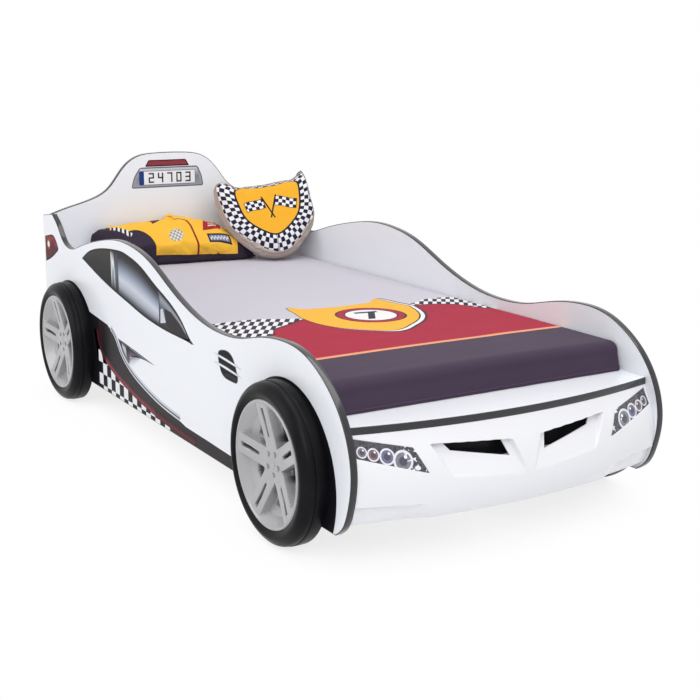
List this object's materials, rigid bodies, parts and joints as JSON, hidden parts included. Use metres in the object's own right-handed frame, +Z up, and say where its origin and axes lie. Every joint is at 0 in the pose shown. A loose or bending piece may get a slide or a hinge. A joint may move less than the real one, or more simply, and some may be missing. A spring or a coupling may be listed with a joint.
{
  "type": "children's car bed",
  "caption": "Car-shaped child's bed: board sides cut to a car's outline, moulded bumper, decorative wheels, tall headboard, slatted base, mattress and bedding.",
  "frame": {"origin": "on the floor, under the middle of the bed's bounding box", "axes": "+Z up; -Y is the nose of the car and foot of the bed; +X is the car's left side"},
  "size_m": [1.067, 2.141, 0.8104],
  "materials": {
    "board": "white satin lacquer on fibreboard",
    "edge_band": "dark slate-grey, glossy",
    "bumper": "white, high gloss",
    "lamp": "dark lens, high gloss",
    "grille": "black, satin",
    "tyre": "black, satin",
    "rim": "metallic silver paint",
    "hub": "metallic grey paint",
    "pine": "planed pine",
    "tape": "woven webbing",
    "glide": "black",
    "mattress": "quilted ticking",
    "bedspread": "printed cloth",
    "pillow": "printed cloth",
    "cushion": "printed cloth"
  },
  "bodies": {
    "bed": {"bumper": "bumper", "centre_beam": "pine", "corner_post_front_left": "pine", "corner_post_front_right": "pine", "corner_post_rear_left": "pine", "corner_post_rear_right": "pine", "foot_board": "board", "glide_front_centre": "glide", "glide_front_left": "glide", "glide_front_right": "glide", "glide_rear_centre": "glide", "glide_rear_left": "glide", "glide_rear_right": "glide", "grille_backing": "grille", "headboard": "board", "headboard_band": "edge_band", "headlamp_left": "lamp", "headlamp_right": "lamp", "hood_band": "edge_band", "hood_board": "board", "hub_caps": "hub", "leg_front_centre": "pine", "leg_front_left": "pine", "leg_front_right": "pine", "leg_rear_centre": "pine", "leg_rear_left": "pine", "leg_rear_right": "pine", "rims_front": "rim", "rims_rear": "rim", "side_band_left": "edge_band", "side_band_right": "edge_band", "side_panel_left": "board", "side_panel_right": "board", "side_rail_left": "pine", "side_rail_right": "pine", "slat_01": "pine", "slat_02": "pine", "slat_03": "pine", "slat_04": "pine", "slat_05": "pine", "slat_06": "pine", "slat_07": "pine", "slat_08": "pine", "slat_09": "pine", "slat_10": "pine", "slat_11": "pine", "slat_12": "pine", "slat_13": "pine", "slat_tapes": "tape", "tyres_front": "tyre", "tyres_rear": "tyre", "wheel_nuts": "hub"},
    "mattress": {"mattress": "mattress", "bedspread": "bedspread"},
    "pillow": {"pillow": "pillow"},
    "cushion": {"shield_cushion": "cushion"}
  },
  "joints": [
    {"name": "mattress_lift", "type": "slide", "parent": "bed", "child": "mattress", "axis": [0, 0, 1], "range_m": [0, 0.4]},
    {"name": "pillow_lift", "type": "slide", "parent": "mattress", "child": "pillow", "axis": [0, 0, 1], "range_m": [0, 0.3]},
    {"name": "cushion_lift", "type": "slide", "parent": "pillow", "child": "cushion", "axis": [0, 0, 1], "range_m": [0, 0.3]}
  ]
}
